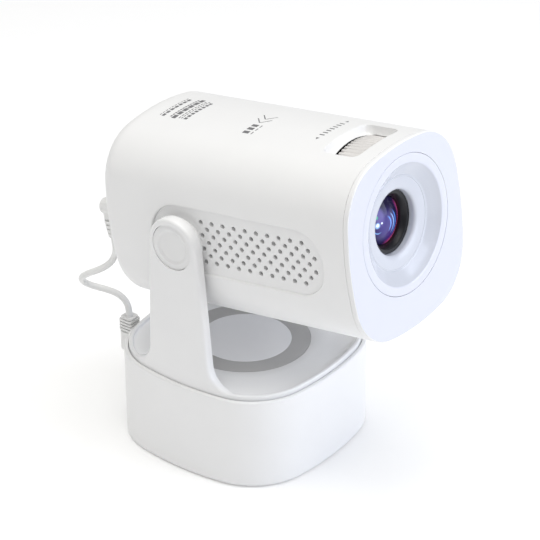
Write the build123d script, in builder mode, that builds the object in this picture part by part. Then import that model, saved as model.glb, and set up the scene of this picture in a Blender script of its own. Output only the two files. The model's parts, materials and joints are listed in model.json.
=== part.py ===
from build123d import *
import os
from math import asin, cos, pi, radians, sin, tan

# Home projector: a tilting head between the two arms of a yoke, on a battery base.
# Frame: origin at the middle of the base's underside, +Z up, the lens looks towards -Y.

os.makedirs("parts", exist_ok=True)

# Driving dimensions, mm and degrees
base_half = 58.0  # half the base's width
base_top = 52.0
base_bottom = 1.0  # the shell's lower edge, held off the table by the feet
wall = 2.2
plate_half = 55.7  # half the yoke's foot
plate_floor = 52.5
plate_rim_top = 54.6
arm_inner = 49.2  # half the gap between the arms
pivot_y, pivot_z = 3.5, 130.4
rest_tilt = 8.14  # how far the lens looks up at rest
body_rise = 1.9  # the head's middle above the pivot
head_half_x, head_half_y = 48.05, 49.2
head_front, head_rear = 106.8, -53.0  # along the lens axis from the pivot
rear_round = 10.0
bezel_thickness = 3.0
lens_rise = 6.4  # the lens axis above the head's middle
cord_radius = 1.8
slip = 0.1  # clearance of a running fit
gap = 0.15  # clearance between fitted mouldings

# Directions of the head: forward is along the lens, upward is square to it
tilt = radians(rest_tilt)
forward = Vector(0, -cos(tilt), sin(tilt))
upward = Vector(0, sin(tilt), cos(tilt))
pivot = Vector(0, pivot_y, pivot_z)
middle = pivot + upward * body_rise
lens_centre = middle + upward * lens_rise
bezel_back = head_front - bezel_thickness


def across(along, centre=middle):
    """Plane square to the lens axis: x sideways, y upward."""
    return Plane(origin=centre + forward * along, x_dir=(1, 0, 0), z_dir=forward)


def beside(x, centre=pivot):
    """Plane square to X, facing out: x along the lens axis, y upward."""
    origin = centre + Vector(x, 0, 0)
    if x < 0:
        return Plane(origin=origin, x_dir=forward, z_dir=(-1, 0, 0))
    return Plane(origin=origin, x_dir=-forward, z_dir=(1, 0, 0))


def above(rise, centre=middle):
    """Plane square to upward: x sideways, y backward."""
    return Plane(origin=centre + upward * rise, x_dir=(1, 0, 0), z_dir=upward)


def squircle(half_x, half_y, inset=0.0):
    """A face bounded by four corner arcs and four flatter side arcs, all tangent."""
    short = min(half_x, half_y)
    corner, reach = 0.62 * short, 0.65 * short
    centre = Vector(half_x - reach, half_y - reach)
    radius_x, radius_y = (
        (reach**2 + c**2 - corner**2) / (2 * (reach - corner)) for c in (centre.Y, centre.X)
    )
    side, top = Vector(half_x - radius_x, 0), Vector(0, half_y - radius_y)
    to_side, to_top = (centre - side).normalized(), (centre - top).normalized()
    a = side + to_side * (radius_x - inset)
    b = top + to_top * (radius_y - inset)
    m = centre + (to_side + to_top).normalized() * (corner - inset)
    with BuildLine(mode=Mode.PRIVATE) as outline:
        for sx in (1, -1):
            for sy in (1, -1):
                ThreePointArc((sx * a.X, sy * a.Y), (sx * m.X, sy * m.Y), (sx * b.X, sy * b.Y))
        for s in (1, -1):
            ThreePointArc((b.X, s * b.Y), (0, s * (half_y - inset)), (-b.X, s * b.Y))
            ThreePointArc((s * a.X, a.Y), (s * (half_x - inset), 0), (s * a.X, -a.Y))
    make_face(outline.edges())


def finish(builder, name):
    """Names a finished piece and writes it."""
    builder.part.label = name
    export_step(builder.part, f"parts/{name}.step")


# --- Base: shell, underside, feet, battery and its board ---

deck_top = 49.6
deck_bottom = 47.4
post_spots = ((46, 0), (-46, 0), (0, 46), (0, -46))
standoff_spots = ((32, 21), (-32, 21), (32, 42), (-32, 42))
yoke_screw_spots = ((42, 20), (-42, 20), (42, -20), (-42, -20))
board_top = 33.6
outlet_x, outlet_z = -21.5, 38.2
charge_x = 20.0
cover_top = 3.0

with BuildPart() as base_shell:
    with BuildSketch(Plane.XY.offset(base_bottom)):
        squircle(base_half, base_half)
    extrude(amount=base_top - base_bottom)
    fillet(base_shell.edges().group_by(Axis.Z)[-1], 1.3)
    fillet(base_shell.edges().group_by(Axis.Z)[0], 0.8)
    with BuildSketch(Plane.XY.offset(base_bottom)):
        squircle(base_half, base_half, wall)
    extrude(amount=deck_bottom - base_bottom, mode=Mode.SUBTRACT)
    with BuildSketch(Plane.XY.offset(deck_top)):
        squircle(plate_half + gap, plate_half + gap)
    extrude(amount=base_top, mode=Mode.SUBTRACT)
    with BuildSketch(Plane.XY.offset(cover_top)):
        with Locations(*post_spots):
            Circle(4)
    extrude(amount=deck_bottom - cover_top)
    with BuildSketch(Plane.XY.offset(board_top)):
        with Locations(*standoff_spots):
            Circle(3)
    extrude(amount=deck_bottom - board_top)
    with BuildSketch(Plane.XY.offset(cover_top)):
        with Locations(*post_spots):
            Circle(1.25)
    extrude(amount=14, mode=Mode.SUBTRACT)
    with BuildSketch(Plane.XY.offset(deck_bottom)):
        with Locations(*yoke_screw_spots):
            Circle(1.6)
    extrude(amount=5, mode=Mode.SUBTRACT)
    with BuildSketch(Plane.XZ.offset(-base_half)):
        with Locations((outlet_x, outlet_z)):
            Circle(4.5)
        with Locations((charge_x, board_top + 1.75)):
            SlotOverall(9.6, 3.7)
    extrude(amount=8, mode=Mode.SUBTRACT)
finish(base_shell, "base_shell")

with BuildPart() as base_bottom_cover:
    with BuildSketch(Plane.XY.offset(base_bottom)):
        squircle(base_half, base_half, wall + gap)
    extrude(amount=cover_top - base_bottom)
    with Locations(Plane.XY.offset(base_bottom)):
        with Locations(*[Location((x, y, 0), (180, 0, 0)) for x, y in post_spots]):
            CounterBoreHole(radius=1.6, counter_bore_radius=3.0, counter_bore_depth=1.0)
finish(base_bottom_cover, "base_bottom_cover")

with BuildPart() as base_feet:
    with BuildSketch(Plane.XY):
        with Locations((-32, -32), (-32, 32), (0, 0), (32, -32), (32, 32)):
            Circle(7)
    extrude(amount=base_bottom)
    chamfer(base_feet.edges().group_by(Axis.Z)[0], 0.3)
finish(base_feet, "base_feet")

with BuildPart() as base_screws:
    with BuildSketch(Plane.XY.offset(base_bottom + 0.1)):
        with Locations(*post_spots):
            Circle(2.8)
    extrude(amount=0.9)
    with BuildSketch(Plane.XY.offset(base_bottom + 1.0)):
        with Locations(*post_spots):
            Circle(1.25)
    extrude(amount=12)
finish(base_screws, "base_screws")

cell_radius, cell_length, cell_pitch = 9.2, 65.0, 19.4
cell_z = cover_top + 1.6 + cell_radius
cell_rows = [(-1.5 + i) * cell_pitch for i in range(4)]

with BuildPart() as battery_cells:
    with BuildSketch(Plane.YZ.offset(-cell_length / 2)):
        with Locations(*[(y, cell_z) for y in cell_rows]):
            Circle(cell_radius)
    extrude(amount=cell_length)
    with BuildSketch(Plane.YZ.offset(cell_length / 2)):
        with Locations(*[(y, cell_z) for y in cell_rows]):
            Circle(3)
    extrude(amount=1.2)
finish(battery_cells, "battery_cells")

with BuildPart() as battery_holder:
    with BuildSketch(Plane.XY.offset(cover_top)):
        Rectangle(74, 80)
    extrude(amount=1.6)
    with BuildSketch(Plane.XY.offset(cover_top)):
        with Locations((-36, 0), (36, 0)):
            Rectangle(2, 80)
    extrude(amount=16)
finish(battery_holder, "battery_holder")

with BuildPart() as base_circuit_board:
    with BuildSketch(Plane.XY.offset(board_top - 1.6)):
        with Locations((0, 29.3)):
            Rectangle(74, 24)
        with Locations((-24, 44), (24, 44)):
            Rectangle(26, 8)
    extrude(amount=1.6)
    with BuildSketch(Plane.XY.offset(board_top)):
        with Locations((2, 28)):
            Rectangle(12, 12)
        with Locations((-8, 40), (10, 40)):
            Rectangle(7, 5)
    extrude(amount=2.2)
finish(base_circuit_board, "base_circuit_board")

outlet_mouth = 56.4
with BuildPart() as base_output_socket:
    with BuildSketch(Plane.XY.offset(board_top)):
        with Locations((outlet_x, 47)):
            Rectangle(10, 12)
    extrude(amount=9.2)
    with BuildSketch(Plane.XZ.offset(-53)):
        with Locations((outlet_x, outlet_z)):
            Circle(4.35)
    extrude(amount=-(outlet_mouth - 53))
    with BuildSketch(Plane.XZ.offset(-outlet_mouth)):
        with Locations((outlet_x, outlet_z)):
            Circle(2.8)
            Circle(1.0, mode=Mode.SUBTRACT)
    extrude(amount=10, mode=Mode.SUBTRACT)
finish(base_output_socket, "base_output_socket")

with BuildPart() as base_charge_socket:
    with BuildSketch(Plane.XZ.offset(-46)):
        with Locations((charge_x, board_top + 1.75)):
            SlotOverall(9.2, 3.4)
    extrude(amount=-10.4)
    with BuildSketch(Plane.XZ.offset(-56.4)):
        with Locations((charge_x, board_top + 1.75)):
            SlotOverall(8.2, 2.4)
            Rectangle(6.4, 0.7, mode=Mode.SUBTRACT)
    extrude(amount=6, mode=Mode.SUBTRACT)
finish(base_charge_socket, "base_charge_socket")

# --- Yoke: foot plate with a shallow dish and two arms, one moulding ---

arm_top_radius = 15.5
arm_front, arm_back = -18.8, 21.6
flare = 13.0
cap_recess_floor = 53.4
ring_outer, ring_inner, inlay_depth = 34.6, 24.6, 0.8

with BuildPart() as yoke_arms:
    with BuildSketch(Plane.YZ):
        with BuildLine():
            Line((arm_front, plate_rim_top), (arm_back, plate_rim_top))
            CenterArc((pivot_y, pivot_z), arm_top_radius, 0, 360)
        make_hull()
        with Locations((1.5, plate_floor - 1)):
            Rectangle(90, 2 * (plate_rim_top - plate_floor + 1))
        corners = vertices().filter_by(lambda v: v.Y > plate_rim_top - 1 and v.Y < plate_rim_top + 1)
        fillet(corners.filter_by(lambda v: -25 < v.X < 25), flare)
    extrude(amount=base_half, both=True)
    with Locations((0, 0, 100)):
        Box(2 * arm_inner, 200, 300, mode=Mode.SUBTRACT)
    with BuildSketch(Plane.XY.offset(deck_top + gap)):
        squircle(plate_half, plate_half)
    extrude(amount=200, mode=Mode.INTERSECT)

with BuildPart() as yoke_frame:
    with BuildSketch(Plane.XY.offset(deck_top + 0.05)):
        squircle(plate_half, plate_half)
    extrude(amount=plate_rim_top - deck_top - 0.05)
    with BuildSketch(Plane.XY.offset(plate_floor)):
        squircle(plate_half, plate_half, 2.2)
    extrude(amount=10, mode=Mode.SUBTRACT)
    fillet(yoke_frame.edges().group_by(Axis.Z)[-1], 0.8)
    fillet(yoke_frame.edges().filter_by_position(Axis.Z, plate_floor - 0.1, plate_floor + 0.1), 1.1)
    add(yoke_arms.part)
    with BuildSketch(Plane.XY.offset(plate_floor)):
        Circle(ring_outer + 0.1)
    extrude(amount=-inlay_depth, mode=Mode.SUBTRACT)
    with BuildSketch(Plane.XY.offset(deck_top)):
        with Locations(*yoke_screw_spots):
            Circle(1.25)
    extrude(amount=1.9, mode=Mode.SUBTRACT)
    for side in (-1, 1):
        with BuildSketch(beside(side * 40)):
            Circle(4.05)
        extrude(amount=30, mode=Mode.SUBTRACT)
        with BuildSketch(beside(side * 51.2)):
            Circle(7.2)
        extrude(amount=10, mode=Mode.SUBTRACT)
        with BuildSketch(beside(side * cap_recess_floor)):
            Circle(12.45)
        extrude(amount=10, mode=Mode.SUBTRACT)
finish(yoke_frame, "yoke_frame")

with BuildPart() as plate_centre_disc:
    with BuildSketch(Plane.XY.offset(plate_floor - inlay_depth)):
        Circle(ring_inner - 0.1)
    extrude(amount=inlay_depth + 0.1)
    chamfer(plate_centre_disc.edges().group_by(Axis.Z)[-1], 0.15)
finish(plate_centre_disc, "plate_centre_disc")

with BuildPart() as plate_grip_ring:
    with BuildSketch(Plane.XY.offset(plate_floor - inlay_depth)):
        Circle(ring_outer)
        Circle(ring_inner, mode=Mode.SUBTRACT)
    extrude(amount=inlay_depth + 0.05)
finish(plate_grip_ring, "plate_grip_ring")

with BuildPart() as yoke_screws:
    with BuildSketch(Plane.XY.offset(deck_bottom - 1.8)):
        with Locations(*yoke_screw_spots):
            Circle(2.8)
    extrude(amount=1.8)
    with BuildSketch(Plane.XY.offset(deck_bottom)):
        with Locations(*yoke_screw_spots):
            Circle(1.25)
    extrude(amount=3.9)
finish(yoke_screws, "yoke_screws")

# --- Pivot: bolt, nut, friction washer and cap on each arm, and a hub on the head ---

hub_face = 48.4
nut_inner = 36.5

for side, hand in ((-1, "left"), (1, "right")):
    with BuildPart() as pivot_cap:
        with BuildSketch(beside(side * (cap_recess_floor + 0.05))):
            Circle(12.3)
        extrude(amount=1.3)
        fillet(pivot_cap.edges().group_by(Axis.X)[-1 if side > 0 else 0], 0.25)
        with BuildSketch(beside(side * (cap_recess_floor + 0.85))):
            Circle(9.4)
        extrude(amount=1, taper=-35, mode=Mode.SUBTRACT)
    finish(pivot_cap, f"pivot_cap_{hand}")

    with BuildPart() as pivot_bolt:
        with BuildSketch(beside(side * 51.25)):
            Circle(7)
        extrude(amount=2.1)
        with BuildSketch(beside(side * nut_inner)):
            Circle(3.95)
        extrude(amount=51.25 - nut_inner)
        with BuildSketch(beside(side * 53.35)):
            RegularPolygon(3, 6)
        extrude(amount=-1.4, mode=Mode.SUBTRACT)
    finish(pivot_bolt, f"pivot_bolt_{hand}")

    with BuildPart() as pivot_hub:
        with BuildSketch(beside(side * 46.1)):
            Circle(13)
        extrude(amount=hub_face - 46.1)
        with BuildSketch(beside(side * 42.2)):
            Circle(9)
        extrude(amount=46.1 - 42.2)
        with BuildSketch(beside(side * 40.2)):
            Circle(13)
        extrude(amount=2.0)
        with BuildSketch(beside(side * 40)):
            Circle(3.95 + slip)
        extrude(amount=20, mode=Mode.SUBTRACT)
    finish(pivot_hub, f"pivot_hub_{hand}")

with BuildPart() as friction_washers:
    for side in (-1, 1):
        with BuildSketch(beside(side * (hub_face + 0.05))):
            Circle(11)
            Circle(4, mode=Mode.SUBTRACT)
        extrude(amount=arm_inner - hub_face - 0.1)
finish(friction_washers, "friction_washers")

with BuildPart() as pivot_nuts:
    for side in (-1, 1):
        with BuildSketch(beside(side * nut_inner)):
            RegularPolygon(6.8, 6)
            Circle(3.95, mode=Mode.SUBTRACT)
        extrude(amount=3.4)
finish(pivot_nuts, "pivot_nuts")

# --- Side grilles: stadium panels with staggered round holes, and dust filters behind ---

recess_radius, recess_floor = 17.6, 46.05
recess_back, recess_ahead = -0.9, 72.8
hole_radius, hole_pitch, row_pitch = 1.3, 7.04, 3.63
first_hole = 13.8


def grille_spots():
    """Centres of the holes, along the lens axis and upward: seven staggered rows."""
    for row in range(-3, 4):
        even = row % 2 == 0
        count = 11 if row in (-1, 1) else 10
        for i in range(count):
            yield first_hole + (i + 0.5 * even) * hole_pitch, row * row_pitch


def stadium(radius, mirrored):
    """The recess's outline, or one inside it, about its two end centres."""
    back, ahead = (-recess_ahead, -recess_back) if mirrored else (recess_back, recess_ahead)
    with Locations(((back + ahead) / 2, 0)):
        SlotCenterToCenter(ahead - back, 2 * radius)


for side, hand in ((-1, "left"), (1, "right")):
    flip = 1 if side < 0 else -1
    with BuildPart() as side_grille:
        with BuildSketch(beside(side * 43.5, middle)):
            stadium(recess_radius - gap, side > 0)
        extrude(amount=recess_floor - 43.5)
        with BuildSketch(beside(side * 42.3, middle)):
            stadium(recess_radius + 1.8, side > 0)
        extrude(amount=1.2)
        with BuildSketch(beside(side * 42, middle)):
            with Locations(*[(flip * a, b) for a, b in grille_spots()]):
                Circle(hole_radius)
        extrude(amount=6, mode=Mode.SUBTRACT)
        with BuildSketch(beside(side * 42)):
            Circle(9.05)
        extrude(amount=6, mode=Mode.SUBTRACT)
    finish(side_grille, f"side_grille_{hand}")

    with BuildPart() as dust_filter:
        with BuildSketch(beside(side * 40.3, middle)):
            with Locations((flip * 45.5, 0)):
                RectangleRounded(60, 30, 6)
        extrude(amount=2.0)
    finish(dust_filter, f"dust_filter_{hand}")

# --- Head shells: a squircle tube in two halves, parted at mid-height ---

post_x, post_spots_along = 36.0, (-36.0, 58.0)
cover_half_x, cover_half_y = 37.8, 38.9
slot_back, slot_front, slot_half = 74.1, 95.8, 18.5
slot_middle, slot_length = (slot_back + slot_front) / 2, slot_front - slot_back


def head_solid(inset, start, end, rounding):
    """A length of the head's section, with its rear edge rounded."""
    with BuildPart() as solid:
        with BuildSketch(across(start)):
            squircle(head_half_x, head_half_y, inset)
        extrude(amount=end - start)
        rear_edges = solid.faces().sort_by(Axis(middle, forward))[0].edges()
        fillet(rear_edges, rounding)
    return solid.part


head_outer = head_solid(0, head_rear, bezel_back, rear_round)
head_inner = head_solid(wall, head_rear + wall, bezel_back + 20, rear_round - wall)

for name, sense in (("upper_shell", 1), ("lower_shell", -1)):
    with BuildPart() as shell:
        add(head_outer)
        add(head_inner, mode=Mode.SUBTRACT)
        # screw posts, kept inside the skin
        with BuildSketch(above(0)):
            for x in (-post_x, post_x):
                with Locations(*[(x, -a) for a in post_spots_along]):
                    Circle(3.6)
        extrude(amount=sense * 37)
        add(head_outer, mode=Mode.INTERSECT)
        split(bisect_by=above(0), keep=Keep.TOP if sense > 0 else Keep.BOTTOM)
        with BuildSketch(above(0)):
            for x in (-post_x, post_x):
                with Locations(*[(x, -a) for a in post_spots_along]):
                    Circle(1.25 if sense > 0 else 1.6)
        extrude(amount=sense * 9, mode=Mode.SUBTRACT)
        if sense < 0:
            with BuildSketch(above(-8)):
                for x in (-post_x, post_x):
                    with Locations(*[(x, -a) for a in post_spots_along]):
                        Circle(2.9)
            extrude(amount=-45, mode=Mode.SUBTRACT)
        # side recesses, rear opening and focus slot
        for side in (-1, 1):
            with BuildSketch(beside(side * 42, middle)):
                stadium(recess_radius, side > 0)
            extrude(amount=20, mode=Mode.SUBTRACT)
        with BuildSketch(across(head_rear)):
            squircle(cover_half_x + gap, cover_half_y + gap)
        extrude(amount=wall, mode=Mode.SUBTRACT)
        if sense > 0:
            with BuildSketch(above(40)):
                with Locations((0, -slot_middle)):
                    RectangleRounded(2 * slot_half + 0.2, slot_length + 0.2, 3.1)
            extrude(amount=20, mode=Mode.SUBTRACT)
    finish(shell, name)

with BuildPart() as shell_screws:
    for x in (-post_x, post_x):
        for a in post_spots_along:
            with BuildSketch(above(-10)):
                with Locations((x, -a)):
                    Circle(2.7)
            extrude(amount=2)
            with BuildSketch(above(-8)):
                with Locations((x, -a)):
                    Circle(1.25)
            extrude(amount=15)
finish(shell_screws, "shell_screws")

# --- Front: bezel, trim ring, focus slot tub ---

trim_radius = 36.1
with BuildPart() as front_bezel:
    with BuildSketch(across(bezel_back + 0.05)):
        squircle(head_half_x, head_half_y)
    extrude(amount=bezel_thickness - 0.05)
    fillet(front_bezel.faces().sort_by(Axis(middle, forward))[-1].edges(), 0.8)
    with BuildSketch(across(bezel_back - 4)):
        squircle(head_half_x, head_half_y, wall + 0.2)
    extrude(amount=4.05)
    with BuildSketch(across(bezel_back - 5)):
        with Locations((0, lens_rise)):
            Circle(trim_radius)
    extrude(amount=20, mode=Mode.SUBTRACT)
    with BuildSketch(across(bezel_back - 5)):
        squircle(head_half_x, head_half_y, wall + 2.2)
    extrude(amount=5, mode=Mode.SUBTRACT)
finish(front_bezel, "front_bezel")

# the trim ring's section: radius from the lens axis, and distance along it
face = head_front
with BuildPart() as lens_trim_ring:
    with BuildSketch(Plane(origin=lens_centre, x_dir=(1, 0, 0), z_dir=-upward)):
        with BuildLine():
            Polyline((17.5, face - 11.0), (17.5, face - 7.7), (16.55, face - 7.7), (16.55, face - 7.2))
            ThreePointArc((16.55, face - 7.2), (16.9, face - 6.5), (17.6, face - 6.15))
            Polyline(
                (17.6, face - 6.15),
                (23.3, face - 5.3),
                (23.8, face - 5.3),
                (23.8, face - 4.95),
                (24.4, face - 4.95),
                (30.9, face - 0.5),
                (31.6, face - 0.1),
                (trim_radius - gap, face - 0.1),
                (trim_radius - gap, face - 4.0),
                (31.0, face - 4.0),
                (25.5, face - 8.0),
                (22.0, face - 11.0),
                (17.5, face - 11.0),
            )
        make_face()
    revolve(axis=Axis(lens_centre, forward))
finish(lens_trim_ring, "lens_trim_ring")

wheel_radius, wheel_back, wheel_front = 40.6, 79.1, 91.9
tub_floor = 42.4
with BuildPart() as focus_slot_tub:
    with BuildSketch(above(tub_floor - 1.2)):
        with Locations((0, -slot_middle)):
            RectangleRounded(2 * slot_half, slot_length, 3)
    extrude(amount=10)
    add(head_outer, mode=Mode.INTERSECT)
    with BuildSketch(above(tub_floor)):
        with Locations((0, -slot_middle)):
            RectangleRounded(2 * slot_half - 2.2, slot_length - 2.2, 2)
    extrude(amount=12, mode=Mode.SUBTRACT)
    with BuildSketch(Plane(origin=middle - Vector(slot_half - 1.3, 0, 0), x_dir=forward, z_dir=(1, 0, 0))):
        with BuildLine():
            scoop = ThreePointArc(
                (slot_back + 0.9, -48.6), (slot_back + 2.2, -44.6), (wheel_back - 0.6, -tub_floor)
            )
            Polyline(scoop @ 1, (slot_back + 0.9, -tub_floor), scoop @ 0)
        make_face()
    extrude(amount=2 * slot_half - 2.6)
    with BuildSketch(across(wheel_back - 0.6, lens_centre)):
        Circle(wheel_radius + 0.5)
    extrude(amount=wheel_front - wheel_back + 1.2, mode=Mode.SUBTRACT)
finish(focus_slot_tub, "focus_slot_tub")

# --- Focus: knurled wheel on the lens holder, and the barrel it drives ---

holder_bore = 17.4
with BuildPart() as lens_holder:
    with BuildSketch(across(59.6, lens_centre)):
        Circle(25)
    extrude(amount=2.2)
    with BuildSketch(across(59.6, lens_centre)):
        Circle(19.6)
    extrude(amount=34)
    with BuildSketch(across(59, lens_centre)):
        Circle(holder_bore)
    extrude(amount=40, mode=Mode.SUBTRACT)
finish(lens_holder, "lens_holder")

with BuildPart() as focus_ring:
    with BuildSketch(across(wheel_back, lens_centre)):
        Circle(wheel_radius)
        with PolarLocations(wheel_radius + 0.25, 96):
            Circle(0.85, mode=Mode.SUBTRACT)
    extrude(amount=wheel_front - wheel_back)
    with BuildSketch(across(wheel_back, lens_centre)):
        Circle(37)
    extrude(amount=4, mode=Mode.SUBTRACT)
    with BuildSketch(across(wheel_front, lens_centre)):
        Circle(37)
    extrude(amount=-4, mode=Mode.SUBTRACT)
    with BuildSketch(across(wheel_back, lens_centre)):
        Circle(22)
    extrude(amount=wheel_front - wheel_back)
    with BuildSketch(across(wheel_back - 1, lens_centre)):
        Circle(19.6 + slip)
    extrude(amount=20, mode=Mode.SUBTRACT)
finish(focus_ring, "focus_ring")

barrel_front = head_front - 10.8
with BuildPart() as lens_barrel:
    with BuildSketch(across(66, lens_centre)):
        Circle(holder_bore - slip)
        Circle(13.6, mode=Mode.SUBTRACT)
    extrude(amount=barrel_front - 66)
finish(lens_barrel, "lens_barrel")

with BuildPart() as lens_retainer:
    with BuildSketch(across(barrel_front, lens_centre)):
        Circle(holder_bore - slip)
        Circle(12.6, mode=Mode.SUBTRACT)
    extrude(amount=1.2)
    chamfer(lens_retainer.edges().filter_by(GeomType.CIRCLE).group_by(SortBy.RADIUS)[0], 0.5)
finish(lens_retainer, "lens_retainer")

lens_radius, lens_rim = 13.5, 2.0


def dome_middle(bulge):
    """Halfway along a spherical surface that rises by bulge at the lens's middle."""
    radius = (lens_radius**2 + bulge**2) / (2 * abs(bulge))
    half = asin(lens_radius / radius) / 2
    rise = abs(bulge) - radius * (1 - cos(half))
    return radius * sin(half), rise if bulge > 0 else -rise


for name, back, front_bulge, rear_bulge in (("front_lens", 89.0, 4.5, 1.0), ("rear_lens", 69.0, 1.5, 3.0)):
    ahead = back + lens_rim
    front_x, front_rise = dome_middle(front_bulge)
    rear_x, rear_rise = dome_middle(-rear_bulge)
    with BuildPart() as lens:
        with BuildSketch(Plane(origin=lens_centre, x_dir=(1, 0, 0), z_dir=-upward)):
            with BuildLine():
                Line((lens_radius, back), (lens_radius, ahead))
                ThreePointArc((lens_radius, ahead), (front_x, ahead + front_rise), (0, ahead + front_bulge))
                Line((0, ahead + front_bulge), (0, back - rear_bulge))
                ThreePointArc((0, back - rear_bulge), (rear_x, back + rear_rise), (lens_radius, back))
            make_face()
        revolve(axis=Axis(lens_centre, forward))
    finish(lens, name)

# --- Light engine: housing, panel, fresnels, reflector, lamp and heat sink ---

engine_half, engine_back, engine_front = 26.5, 8.0, 59.6
with BuildPart() as optical_housing:
    with BuildSketch(across(engine_back, lens_centre)):
        RectangleRounded(2 * engine_half, 2 * engine_half, 3)
    extrude(amount=engine_front - engine_back)
    with BuildSketch(across(engine_back - 1, lens_centre)):
        RectangleRounded(2 * engine_half - 3.2, 2 * engine_half - 3.2, 1.6)
    extrude(amount=70, mode=Mode.SUBTRACT)
finish(optical_housing, "optical_housing")

for name, at, thickness in (
    ("rear_fresnel", 36.0, 1.6),
    ("lcd_panel", 43.0, 1.8),
    ("front_fresnel", 50.0, 1.6),
):
    with BuildPart() as pane:
        with BuildSketch(across(at, lens_centre)):
            RectangleRounded(2 * engine_half - 3.2, 2 * engine_half - 3.2, 1.6)
        extrude(amount=thickness)
    finish(pane, name)

with BuildPart() as led_reflector:
    with BuildSketch(across(12.5, lens_centre)):
        Rectangle(14, 14)
    with BuildSketch(across(35, lens_centre)):
        Rectangle(48, 48)
    loft()
    with BuildSketch(across(12.5, lens_centre)):
        Rectangle(11.6, 11.6)
    with BuildSketch(across(35, lens_centre)):
        Rectangle(45.6, 45.6)
    loft(mode=Mode.SUBTRACT)
finish(led_reflector, "led_reflector")

with BuildPart() as led_module:
    with BuildSketch(across(9, lens_centre)):
        RectangleRounded(34, 34, 2)
    extrude(amount=2)
    with BuildSketch(across(11, lens_centre)):
        Rectangle(11, 11)
    extrude(amount=1.4)
finish(led_module, "led_module")

with BuildPart() as heat_sink:
    with BuildSketch(across(4, lens_centre)):
        RectangleRounded(52, 52, 2)
    extrude(amount=4)
    with BuildSketch(across(4, lens_centre)):
        with GridLocations(4.6, 0, 11, 1):
            Rectangle(1.4, 52)
    extrude(amount=-22)
    with BuildSketch(across(8, lens_centre)):
        Rectangle(36, 36)
    extrude(amount=1)
finish(heat_sink, "heat_sink")

# --- Fan beside the right grille ---

fan_along, fan_inner, fan_half = 31.0, 29.0, 20.0
fan_centre = middle + forward * fan_along
with BuildPart() as fan_frame:
    with BuildSketch(beside(fan_inner, fan_centre)):
        RectangleRounded(2 * fan_half, 2 * fan_half, 3)
        Circle(18.6, mode=Mode.SUBTRACT)
    extrude(amount=9.6)
    with BuildSketch(beside(fan_inner, fan_centre)):
        Circle(8)
        with PolarLocations(0, 3):
            with Locations((14, 0)):
                Rectangle(13, 2)
    extrude(amount=1.2)
    with BuildSketch(beside(fan_inner, fan_centre)):
        Circle(2)
    extrude(amount=4)
    with BuildSketch(beside(fan_inner, fan_centre)):
        with GridLocations(33, 33, 2, 2):
            Circle(1.7)
    extrude(amount=9.6, mode=Mode.SUBTRACT)
finish(fan_frame, "fan_frame")

with BuildPart() as fan_impeller:
    with BuildSketch(beside(fan_inner + 1.8, fan_centre)):
        Circle(8)
    extrude(amount=7)
    with BuildSketch(beside(fan_inner + 1.7, fan_centre)):
        Circle(2.08)
    extrude(amount=2.6, mode=Mode.SUBTRACT)
    for i in range(9):
        turn = Rot(0, 0, 40 * i)
        blade = Plane(beside(fan_inner + 5.2, fan_centre).location * turn * Pos(12.6, 0, 0) * Rot(38, 0, 0))
        with BuildSketch(blade):
            RectangleRounded(11, 8, 1.5)
        extrude(amount=0.5, both=True)
finish(fan_impeller, "fan_impeller")

# --- Main board, speaker and rear panel ---

board_rise = -34.0
ports = (("hdmi_port", -14.0, 15.0, 5.8), ("usb_port", 5.0, 13.2, 6.2), ("audio_jack", 20.0, 7.0, 6.4))
button_x, button_rise = 20.0, 20.0
window_x = -2.0
inlet_x, inlet_rise = -33.6, 2.1

with BuildPart() as main_board:
    with BuildSketch(above(board_rise)):
        with Locations((0, -7)):
            RectangleRounded(62, 92, 2)
    extrude(amount=-1.6)
    with BuildSketch(above(board_rise)):
        with Locations((0, -20)):
            Rectangle(16, 16)
        with Locations((-18, -24), (18, -24)):
            Rectangle(9, 11)
        with Locations((-14, -44), (14, -44)):
            Rectangle(12, 6)
    extrude(amount=1.8)
finish(main_board, "main_board")

port_depth = 12.5
for name, x, width, height in ports:
    with BuildPart() as port:
        with BuildSketch(across(head_rear + 0.3, middle + upward * (board_rise + height / 2))):
            with Locations((x, 0)):
                Rectangle(width, height)
        extrude(amount=port_depth)
        with BuildSketch(across(head_rear + 0.3, middle + upward * (board_rise + height / 2))):
            with Locations((x, 0)):
                if name == "audio_jack":
                    Circle(1.8)
                else:
                    Rectangle(width - 1.2, height - 1.2)
                    Rectangle(width - 4, 1.4, mode=Mode.SUBTRACT)
        extrude(amount=9, mode=Mode.SUBTRACT)
    finish(port, name)

with BuildPart() as rear_cover:
    with BuildSketch(across(head_rear)):
        squircle(cover_half_x, cover_half_y)
    extrude(amount=wall)
    with BuildSketch(across(head_rear + wall)):
        squircle(cover_half_x + 0.25, cover_half_y + 0.25)
        squircle(cover_half_x - 8, cover_half_y - 8)
    extrude(amount=1.2)
    with BuildSketch(across(head_rear - 1)):
        for name, x, width, height in ports:
            with Locations((x, board_rise + height / 2)):
                Rectangle(width + 0.3, height + 0.3)
        with Locations((button_x, button_rise)):
            Circle(5.15)
        with Locations((window_x, button_rise)):
            SlotOverall(14.2, 6.2)
        with Locations((inlet_x, inlet_rise)):
            Circle(3.3)
    extrude(amount=6, mode=Mode.SUBTRACT)
    with BuildSketch(across(head_rear + wall)):
        with Locations((button_x, button_rise)):
            Circle(6.6)
        with Locations((inlet_x, inlet_rise)):
            Circle(4.7)
    extrude(amount=2, mode=Mode.SUBTRACT)
finish(rear_cover, "rear_cover")

with BuildPart() as remote_window:
    with BuildSketch(across(head_rear + 0.1)):
        with Locations((window_x, button_rise)):
            SlotOverall(14, 6)
    extrude(amount=3.2)
finish(remote_window, "remote_window")

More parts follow.
